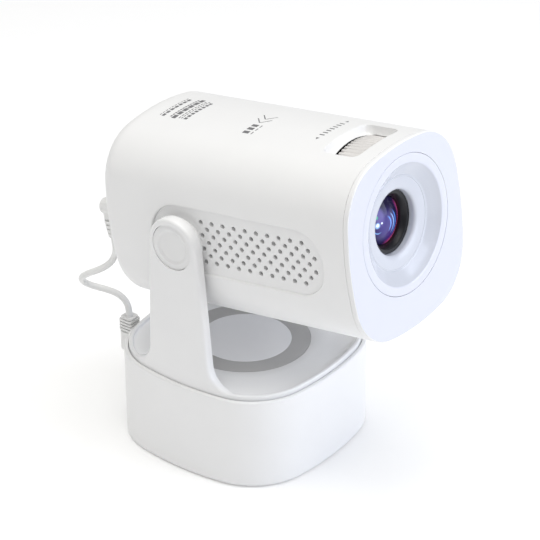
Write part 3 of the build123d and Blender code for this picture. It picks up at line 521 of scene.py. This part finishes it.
def half_shell(name, sense, with_slot):
    """Half of the head's skin; sense is 1 for the upper half and -1 for the lower one."""
    grid = skin(turns * sense, alongs[:, None])
    rows, columns = grid.shape[:2]
    i, j = np.meshgrid(np.arange(rows - 1), np.arange(columns - 1), indexing="ij")
    in_side = (i >= side_rows[0]) & (i < side_rows[1])
    keep = ~(in_side & ((j < side_columns) | (j >= columns - 1 - side_columns)))
    if with_slot:
        in_slot = (i >= slot_rows[0]) & (i < slot_rows[1])
        keep &= ~(in_slot & (j >= slot_columns[0]) & (j < slot_columns[1]))
    points, faces = [grid.reshape(-1, 3)], [quads(rows, columns, False)[keep.ravel()]]

    def patch(rings, wrap):
        faces.append(quads(*rings.shape[:2], wrap) + sum(len(p) for p in points))
        points.append(rings.reshape(-1, 3))

    for mirror in (False, True):
        patch(recess_rings(sense, mirror), False)
    if with_slot:
        patch(slot_rings(), True)
    # rear: a rounded corner into the flat where the rear cover sits
    a = np.radians(np.linspace(0, 90, 11))
    rear = [skin(turns * sense, -43 - rear_round * np.sin(b), rear_round * (1 - np.cos(b))) for b in a]
    rear += [skin(turns * sense, along, rear_round + 0.15) for along in (head_rear + 0.2, -49.0)]
    patch(np.array(rear), False)
    # front: a rounded edge that turns in where the bezel meets it
    front = [skin(turns * sense, bezel_back), skin(turns * sense, bezel_back + 0.1, 0.12),
             skin(turns * sense, bezel_back + 0.12, 0.5), skin(turns * sense, bezel_back - 0.5, 2.2)]
    patch(np.array(front), False)
    made = piece(name, np.concatenate(points), np.concatenate(faces), "head", name.removesuffix("_skin"),
                 shell_white)
    # the joint at mid-height: the edge turns inward over a hairline gap
    work = bmesh.new()
    work.from_mesh(made.data)
    edges = [e for e in work.edges if e.is_boundary
             and all(abs((np.array(v.co) - middle) @ upward) < 1e-6 for v in e.verts)
             and all(abs(v.co.x) > 0.0365 for v in e.verts)]
    new = bmesh.ops.extrude_edge_only(work, edges=edges)["geom"]
    for v in (g for g in new if isinstance(g, bmesh.types.BMVert)):
        v.co.x -= np.sign(v.co.x) * 0.0009
        v.co += Vector(upward * sense * 0.00012)
    bmesh.ops.recalc_face_normals(work, faces=work.faces)
    work.to_mesh(made.data)
    work.free()
    crease(made, 38)


half_shell("upper_shell_skin", 1, True)
half_shell("lower_shell_skin", -1, False)

# Front bezel: a gloss ABS ring clipped over the shells. Its face is flat with
# a rounded outer edge, and a hairline parts it from the shells and the trim ring.
bezel_front, trim_radius, bezel_round = 106.8, 36.1, 0.8
bezel_turns = even_turns(head_x, head_y, 320)
bezel_rows = [skin(bezel_turns, bezel_back - 0.6, 1.8), skin(bezel_turns, bezel_back + 0.2, 0.6),
              skin(bezel_turns, bezel_back + 0.28, 0.14), skin(bezel_turns, bezel_back + 0.42, 0.0)]
bezel_rows += [skin(bezel_turns, bezel_front - bezel_round * (1 - np.sin(a)), bezel_round * (1 - np.cos(a)))
               for a in np.radians(np.linspace(0, 90, 12))]
face_edge = bezel_rows[-1]
from_lens = face_edge - (lens_centre + forward * bezel_front * mm)
reach = np.linalg.norm(from_lens, axis=1, keepdims=True)
for share in (0.08, 0.3, 0.6, 0.9, 1.0):
    radius = reach * (1 - share) + (trim_radius + 0.12) * mm * share
    bezel_rows.append(lens_centre + forward * bezel_front * mm + from_lens / reach * radius)
rim_line = from_lens / reach
bezel_rows.append(lens_centre + forward * (bezel_front - 0.12) * mm + rim_line * trim_radius * mm)
bezel_rows.append(lens_centre + forward * (bezel_front - 2.6) * mm + rim_line * trim_radius * mm)
bezel = loops("front_bezel_skin", bezel_rows, "head", "front_bezel", gloss_white, closed=True)
# The bezel's side and rounded outer edge take the brighter satin white of the shells: a painted highlight
# along the edge of the one gloss moulding.
bezel.data.materials.append(shell_white)
facing = np.array([p.normal for p in bezel.data.polygons]) @ forward
from_lens = np.array([p.center for p in bezel.data.polygons]) - lens_centre
painted_highlight_faces = (facing < 0.97) & (np.hypot(from_lens[:, 0], from_lens[:, 2]) > 0.0385)
bezel.data.polygons.foreach_set("material_index", painted_highlight_faces.astype(np.int32))

# Lens trim ring: a gloss ABS funnel pressed into the bezel. A soft lip leads
# into a steep conical wall, then a bead and a shallow bowl round the lens.
funnel = np.concatenate((
    [(35.5, -3.0), (35.95, -2.6), (35.95, -0.3), (35.82, -0.12), (35.6, -0.08), (32.9, -0.08),
     (31.9, -0.1), (31.4, -0.2), (31.1, -0.42), (30.9, -0.65)],
    [(27.8, -2.8), (25.2, -4.6), (24.7, -4.92), (24.3, -5.05)],
    [(24.05, -4.92), (23.8, -4.9), (23.55, -5.02), (23.4, -5.2)],
    [(22.0, -5.35), (20.0, -5.6), (18.2, -5.95), (17.3, -6.35), (16.75, -6.9), (16.55, -7.6), (16.5, -12.5)],
))
trim = lathe("lens_trim_ring_skin", funnel, lens_centre + forward * bezel_front * mm, forward, "head",
             "lens_trim_ring", gloss_white, count=288, closed=False, degrees=40)
# Inside the lip, the wall and bowl take a greyer white than the face: painted shade down the funnel of the
# one moulding.
trim.data.materials.append(moulded("funnel_painted_shade_abs", "#d6d9e1", "#d3d6df", 0.22, 0.9, 0.001, 0.3))
from_axis = (np.array([p.center for p in trim.data.polygons]) - lens_centre) @ np.stack((sideways, upward), 1)
painted_shade_faces = np.linalg.norm(from_axis, axis=1) < 0.0312
trim.data.polygons.foreach_set("material_index", painted_shade_faces.astype(np.int32))

# Focus wheel: an ivory acetal ring on the lens holder, moulded with a fine
# ribbed rim. Its rear edge has deeper notches, and its top shows in the slot.
wheel_back, wheel_front, rib_count = 79.1, 91.9, 96
rib_turn = np.arange(rib_count * 10) / (rib_count * 10) * 2 * np.pi
rib_shape = np.clip((np.cos(rib_turn * rib_count) + 0.1) / 0.5, 0, 1)


def wheel_ring(radius, along, notch):
    """A ring of the wheel: the radius less the notch depth times the rib shape, at a place along the lens."""
    r = (radius - notch * rib_shape)[:, None] * mm
    spokes = np.cos(rib_turn)[:, None] * sideways + np.sin(rib_turn)[:, None] * upward
    return lens_centre + r * spokes + forward * along * mm


wheel_rows = [wheel_ring(*row) for row in (
    (30.0, wheel_back, 0.0), (39.0, wheel_back, 0.0), (40.1, wheel_back, 1.4),
    (wheel_radius, wheel_back + 0.5, 1.7), (wheel_radius, wheel_back + 1.5, 1.7),
    (wheel_radius, wheel_back + 2.0, 0.5), (wheel_radius, 85.5, 0.4),
    (wheel_radius, wheel_front - 0.5, 0.24), (40.1, wheel_front, 0.24), (30.0, wheel_front, 0.0),
)]
loops("focus_ring_wheel", wheel_rows, "focus_wheel", "focus_ring", wheel_ivory, 40,
      closed=True)

# Slot tub: the black nylon liner under the slot, which keeps dust out of the housing.
# Only its dark shows in the gaps beside the wheel, where it stands in as painted shade.
black_nylon_and_painted_shade = moulded("black_nylon_and_painted_shade", "#1c1c1e", "#222225", 0.5, 0.35, 0.01)
tub_turn = np.linspace(0, 2 * np.pi, 120, endpoint=False)
tub_middle = np.array((84.9, 0.0))
tub_spokes = np.column_stack((9.2 * np.cos(tub_turn), 17.2 * np.sin(tub_turn)))
tub_outer = to_outline(tub_middle + 3 * tub_spokes, 18.9, 75.2, 96.2, 3.0)
tub_inner = to_outline(3 * tub_outer - 2 * tub_middle, 18.2, 76.0, 95.7, 2.6)
tub_rows = [in_head(outline[:, 1] * mm, up * mm, outline[:, 0] * mm)
            for outline, up in ((tub_outer, 41.4), (tub_outer, 36.6), (tub_inner, 36.6), (tub_inner, 41.4))]
loops("focus_slot_tub_liner", tub_rows, "head", "focus_slot_tub", black_nylon_and_painted_shade, closed=True)

# Lens barrel and retainer: black anodised aluminium. The retainer's inner bevel
# is deep black, and its outer edge is turned bright.
def metal(name, colour, roughness, grain_mm):
    """Bare metal: its colour, with a fine brushed or blasted grain in the roughness."""
    material, tree, shader, place = new_material(name)
    grain = add(tree, "ShaderNodeTexNoise", {"Scale": 1 / (grain_mm * mm), "Detail": 2.0, "Vector": place})
    gloss = add(tree, "ShaderNodeMapRange", {
        0: grain.outputs["Fac"], 3: roughness * 0.8, 4: roughness * 1.2})
    tree.links.new(gloss.outputs[0], shader.inputs["Roughness"])
    shader.inputs["Metallic"].default_value = 1.0
    shader.inputs["Base Color"].default_value = linear(colour)
    return material


anodised, anodised_tree, anodised_shader, anodised_place = new_material("black_anodised")
lathe_marks = add(anodised_tree, "ShaderNodeTexNoise", {
    "Scale": 900.0, "Detail": 2.0, "Vector": anodised_place})
anodised_gloss = add(anodised_tree, "ShaderNodeMapRange", {0: lathe_marks.outputs["Fac"], 3: 0.3, 4: 0.42})
anodised_tree.links.new(anodised_gloss.outputs[0], anodised_shader.inputs["Roughness"])
anodised_shader.inputs["Base Color"].default_value = linear("#1d1d20")
anodised_shader.inputs["Specular IOR Level"].default_value = 0.35
barrel_black = moulded("barrel_black", "#0c0c0e", "#111113", 0.55, 0.5, 0.004)
turned_edge = metal("turned_aluminium_edge", "#8f9299", 0.3, 0.2)
tube_profile = [(12.0, 66), (16.2, 66), (16.2, 96.2), (15.6, 96.4), (15.0, 96.4), (12.0, 90.5), (12.0, 66)]
lathe("lens_barrel_tube", tube_profile, lens_centre, forward, "lens_unit", "lens_barrel", barrel_black)
ring_profile = np.concatenate((
    [(12.9, 93.0), (13.9, 96.0), (15.4, 95.9), (16.3, 95.9), (16.35, 96.6)],
    arc(15.95, 96.75, 0.4, 0, 90, 5),
    [(15.3, 97.0), (14.4, 97.0), (14.15, 96.8), (13.9, 96.5), (13.3, 95.6), (12.7, 94.2), (12.5, 92.6)],
))
retainer = lathe("lens_retainer_ring", ring_profile, lens_centre, forward, "lens_unit", "lens_retainer",
                 anodised, degrees=16, closed=True)
retainer.data.materials.append(turned_edge)
centre_of = np.array([p.center for p in retainer.data.polygons]) - lens_centre
from_axis = np.linalg.norm(centre_of - (centre_of @ forward)[:, None] * forward, axis=1)
edge_faces = (from_axis > 0.01605) & ((centre_of @ forward) > 0.0962)
retainer.data.polygons.foreach_set("material_index", edge_faces.astype(np.int32))

# Front lens: a deep glass meniscus with a violet anti-reflection coating. The
# crescents and sparks stand for reflections from the elements behind it. They
# are painted in this material, and nothing behind the lens makes them.
coated, coated_tree, coated_shader, coated_place = new_material("coated_glass")


lens_offset = add(coated_tree, "ShaderNodeVectorMath", {
    "operation": "SUBTRACT", 0: coated_place, 1: tuple(lens_centre)}).outputs[0]
lens_u, lens_v = (add(coated_tree, "ShaderNodeVectorMath", {
    "operation": "DOT_PRODUCT", 0: lens_offset, 1: tuple(axis / mm)}).outputs["Value"]
    for axis in (sideways, upward))
lens_place = add(coated_tree, "ShaderNodeCombineXYZ", {0: lens_u, 1: lens_v}).outputs[0]


def distance_from(u, v, squeeze=1.0):
    """Distance over the lens from a point, in mm: the offset's length with its sideways part squeezed."""
    offset = add(coated_tree, "ShaderNodeVectorMath", {
        "operation": "SUBTRACT", 0: lens_place, 1: (u, v, 0.0)}).outputs[0]
    squeezed = add(coated_tree, "ShaderNodeVectorMath", {
        "operation": "MULTIPLY", 0: offset, 1: (squeeze, 1.0, 1.0)}).outputs[0]
    return add(coated_tree, "ShaderNodeVectorMath", {
        "operation": "LENGTH", 0: squeezed}).outputs["Value"]


def spot(u, v, edge_at, full_at, squeeze=1.0):
    """A mask round a point: nought at the distance edge_at and one at full_at, smooth between."""
    return add(coated_tree, "ShaderNodeMapRange", {
        "interpolation_type": "SMOOTHSTEP", 0: distance_from(u, v, squeeze), 1: edge_at, 2: full_at,
    }).outputs[0]


def both(first, second):
    """Where two masks overlap: their product."""
    return add(coated_tree, "ShaderNodeMath", {"operation": "MULTIPLY", 0: first, 1: second}).outputs[0]


def beyond(u, v, direction, low, high):
    """A mask that rises from low to high with the distance from a point along a direction."""
    offset = add(coated_tree, "ShaderNodeVectorMath", {
        "operation": "SUBTRACT", 0: lens_place, 1: (u, v, 0.0)}).outputs[0]
    run = add(coated_tree, "ShaderNodeVectorMath", {
        "operation": "DOT_PRODUCT", 0: offset, 1: (*direction, 0.0)}).outputs["Value"]
    return add(coated_tree, "ShaderNodeMapRange", {
        "interpolation_type": "SMOOTHSTEP", 0: run, 1: low, 2: high}).outputs[0]


def crescent(u, v, radius, width, turn, spread):
    """A ring of that radius and width round a point, that fades away from the direction turn."""
    past = add(coated_tree, "ShaderNodeMath", {
        "operation": "SUBTRACT", 0: distance_from(u, v), 1: radius}).outputs[0]
    off = add(coated_tree, "ShaderNodeMath", {"operation": "ABSOLUTE", 0: past}).outputs[0]
    ring = add(coated_tree, "ShaderNodeMapRange", {
        "interpolation_type": "SMOOTHSTEP", 0: off, 1: width, 2: 0.0}).outputs[0]
    direction = (float(np.cos(turn)), float(np.sin(turn)))
    return both(ring, beyond(u, v, direction, radius * spread, radius))


# Painted reflections: the violet patches, the pink band towards the lower right edge, the blue crescents and
# the green and white sparks. The last layer turns the rim near black.
low_right = (0.85, -0.5)
layers = [
    ("#423a7c", spot(-2.0, -1.5, 11.0, 3.0)),
    ("#5f5796", spot(-5.5, 4.5, 6.5, 2.5, squeeze=1.6)),
    ("#3b2468", spot(1.5, -7.5, 5.5, 1.0)),
    ("#7c2f68", both(spot(0.0, 0.0, 9.2, 11.0), beyond(0.0, 0.0, low_right, 2.0, 7.0))),
    ("#b4486a", both(spot(0.0, 0.0, 10.9, 12.0), beyond(0.0, 0.0, low_right, 4.0, 9.0))),
    ("#5b8fe8", crescent(-1.8, -1.6, 8.6, 0.9, -0.1, 0.62)),
    ("#9cc4ff", crescent(-2.0, -1.6, 6.7, 0.7, -0.05, 0.55)),
    ("#6fa0f5", crescent(-2.6, -1.2, 4.6, 0.8, 0.0, 0.4)),
    ("#49b98a", spot(-7.4, 4.6, 1.3, 0.4)),
    ("#a8d0ff", spot(-7.6, 0.4, 2.0, 0.7)),
    ("#ffffff", spot(-7.5, 0.6, 1.1, 0.4)),
    ("#e6efff", spot(-4.8, 0.9, 0.75, 0.35)),
    ("#86b4f0", crescent(-6.9, -1.0, 3.0, 0.5, 3.9, 0.1)),
    ("#05050a", spot(0.0, 0.0, 12.0, 12.5)),
]
colour = add(coated_tree, "ShaderNodeRGB", {}).outputs[0]
colour.default_value = linear("#1a1536")
for code, mask in layers:
    colour = add(coated_tree, "ShaderNodeMix", {
        "data_type": "RGBA", 0: mask, 6: colour, 7: linear(code)}).outputs[2]
coated_tree.links.new(colour, coated_shader.inputs["Base Color"])
# The painted colours also feed a faint emission, so the lens glows with painted light.
coated_tree.links.new(colour, coated_shader.inputs["Emission Color"])
coated_shader.inputs["Emission Strength"].default_value = 0.4
coated_shader.inputs["Roughness"].default_value = 0.04
coated_shader.inputs["Specular IOR Level"].default_value = 0.25
dome_radius = (12.8**2 + 3.6**2) / (2 * 3.6)
dome = [(dome_radius * np.sin(a), 96.1 - dome_radius * (1 - np.cos(a)))
        for a in np.linspace(0.0005, np.arcsin(12.8 / dome_radius), 24)]
lathe("front_lens_dome", dome, lens_centre, forward, "lens_unit", "front_lens", coated,
      closed=False)

# Top marks: grey pad-printed ink on the upper shell. They are plain signs of
# how far the focus wheel turns, and bars where a maker would print its name.
ink = moulded("grey_ink", "#7a7a7c", "#727274", 0.5, 0.3, 0.002)
mark_points, mark_faces = [], []


def mark(x, along, half_x, half_along, lean=0.0, taper=1.0):
    """A patch of ink: a four-by-four grid on the skin; taper narrows one end, and lean shears it."""
    s, t = np.meshgrid(np.linspace(-1, 1, 4), np.linspace(-1, 1, 4), indexing="ij")
    across = x + half_x * s
    run = along + half_along * t * (1 + (taper - 1) * (s + 1) / 2) + lean * s
    mark_faces.append(quads(4, 4, False) + 16 * len(mark_points))
    mark_points.append(skin(turn_at_x(across), run, -0.02).reshape(-1, 3))


mark(-8.0, 63.6, -1.0, 1.1, taper=0.02)
mark(17.6, 63.6, 1.0, 1.1, taper=0.02)
for x in np.linspace(-3.6, 13.2, 7):
    mark(x, 63.6, 0.5, 1.5)
for x in (-0.2, 4.6):
    for lean in (-2.2, 2.2):
        mark(x, 23.4 + lean, 2.4, 0.4, lean)
for x in (-13.6, -9.8, -6.2):
    mark(x, 23.4, 1.2, 1.9)
    mark(x, 27.2, 1.2, 0.3)
for along, half_along, spacing, half_x in (
    (-18.0, 1.0, 2.9, 1.0), (-20.4, 0.35, 2.2, 0.75), (-22.0, 0.35, 2.6, 0.9), (-25.2, 1.3, 4.4, 1.8),
    (-27.6, 0.5, 2.0, 0.7), (-32.5, 0.9, 3.4, 1.3), (-34.6, 0.3, 2.4, 0.8),
):
    for x in np.arange(-11.0, 11.1, spacing):
        mark(x, along, half_x, half_along)
piece("top_marks", np.concatenate(mark_points), np.concatenate(mark_faces), "head", None, ink,
      outward=False)

# Lead: a soft PVC cord with two moulded plugs. It carries power from the base
# up to the head and hangs in one loose bend behind them.
lead_radius = 1.8
lead_route = np.array((
    (-21.5, 62.5, 54.0), (-21.5, 62.5, 60.4), (-22.4, 67.4, 65.6), (-24.8, 74.4, 67.6), (-28.6, 80.8, 69.2),
    (-33.8, 83.6, 73.2), (-38.0, 81.2, 79.0), (-38.4, 75.4, 83.6), (-35.6, 69.2, 86.8), (-32.6, 64.0, 91.2),
    (-31.8, 61.4, 97.4), (-33.6, 59.58, 102.28), (-33.6, 60.49, 108.61),
)) * mm
line = bpy.data.curves.new("lead_line", "CURVE")
line.dimensions = "3D"
spline = line.splines.new("NURBS")
spline.points.add(len(lead_route) - 1)
spline.points.foreach_set("co", np.column_stack((lead_route, np.ones(len(lead_route)))).ravel())
spline.order_u = 3
spline.use_endpoint_u = True
spline.resolution_u = 14
line_object = bpy.data.objects.new("lead_line", line)
line_mesh = bpy.data.meshes.new_from_object(line_object)
lead_path = np.empty(len(line_mesh.vertices) * 3)
line_mesh.vertices.foreach_get("co", lead_path)
lead_path = lead_path.reshape(-1, 3)
bpy.data.objects.remove(line_object)
heading = np.gradient(lead_path, axis=0)
heading /= np.linalg.norm(heading, axis=1, keepdims=True)
first = np.cross(heading, sideways)
first /= np.linalg.norm(first, axis=1, keepdims=True)
second = np.cross(heading, first)
turn = np.arange(24) / 24 * 2 * np.pi
lead_rings = lead_path[:, None] + lead_radius * mm * (
    np.cos(turn)[:, None] * first[:, None] + np.sin(turn)[:, None] * second[:, None])
lead = loops("lead_cord_tube", lead_rings, None, "lead_cord", lead_white)
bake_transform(lead)

# Floor and lights: a white sweep, an even white surround and soft boxes above
# and in front, so that the white shells shade from white to pale grey.
floor_mesh = bpy.data.meshes.new("floor")
floor_mesh.from_pydata([(-6, -6, 0), (6, -6, 0), (6, 6, 0), (-6, 6, 0)], [], [(0, 1, 2, 3)])
floor = bpy.data.objects.new("floor", floor_mesh)
scene.collection.objects.link(floor)
paper, _, paper_shader, _ = new_material("white_paper")
paper_shader.inputs["Base Color"].default_value = linear("#fbfbfb")
paper_shader.inputs["Roughness"].default_value = 0.9
paper_shader.inputs["Emission Color"].default_value = linear("#ffffff")
paper_shader.inputs["Emission Strength"].default_value = 0.12
floor_mesh.materials.append(paper)

world = bpy.data.worlds.new("surround")
scene.world = world
world.use_nodes = True
world.node_tree.nodes["Background"].inputs["Color"].default_value = linear("#ffffff")
world.node_tree.nodes["Background"].inputs["Strength"].default_value = 0.29

for name, place, size, power, colour in (
    ("top_box", (-0.1, 0.0, 1.5), 1.5, 19.0, "#fffefb"),
    ("front_box", (0.7, -1.5, 0.55), 1.3, 16.0, "#e6eeff"),
    ("left_box", (-1.2, -0.1, 1.3), 0.8, 1.2, "#ffffff"),
):
    light = bpy.data.lights.new(name, "AREA")
    light.size, light.energy = size, power
    light.color = linear(colour)[:3]
    lamp = bpy.data.objects.new(name, light)
    lamp.location = place
    lamp.rotation_euler = (Vector((0, 0, 0.1)) - lamp.location).to_track_quat("-Z", "Y").to_euler()
    scene.collection.objects.link(lamp)

# Nodes that keep the shape they have from CAD, with their finishes. The dark
# ones are glass-filled nylon and foam, the steel is zinc plated, and the
# boards are glass-epoxy under green lacquer.
dark_foam = moulded("dark_foam", "#161617", "#0e0e0f", 0.9, 0.8, 0.1)
disc_white = moulded("disc_white_abs", "#f8f8f9", "#f4f4f6", 0.22, 0.9, 0.003, 0.3)
grip_grey = moulded("grip_grey_tpe", "#bcbbba", "#b6b5b4", 0.5, 0.4, 0.01)
foot_rubber = moulded("grey_rubber", "#8c8c8e", "#858587", 0.8, 0.6, 0.03)
board_green = moulded("board_green", "#1f5a3a", "#1a4f33", 0.35, 1.2, 0.01)
cell_wrap = moulded("blue_cell_wrap", "#2f5f9a", "#2a568c", 0.3, 2.0, 0.005)
zinc = metal("zinc_plated_steel", "#b9bcc0", 0.35, 0.3)
aluminium = metal("cast_aluminium", "#c9cbce", 0.45, 0.5)
finishes = {
    shell_white: "rear_cover base_bottom_cover",
    disc_white: "plate_centre_disc",
    grip_grey: "plate_grip_ring",
    grille_white: "side_grille_left side_grille_right pivot_hub_left pivot_hub_right",
    wheel_ivory: "power_button",
    lead_white: "base_plug head_plug",
    foot_rubber: "base_feet friction_washers",
    dark_foam: "dust_filter_left dust_filter_right",
    zinc: "base_screws yoke_screws shell_screws pivot_bolt_left pivot_bolt_right pivot_nuts",
    aluminium: "heat_sink led_reflector",
    board_green: "base_circuit_board main_board led_module",
    cell_wrap: "battery_cells",
}
named = " ".join(finishes.values()).split()
finishes[black_nylon_and_painted_shade] = " ".join(n for n in frame["nodes"] if n not in named)
for finish, names in finishes.items():
    for name in names.split():
        frame["nodes"][name].data.materials.clear()
        frame["nodes"][name].data.materials.append(finish)
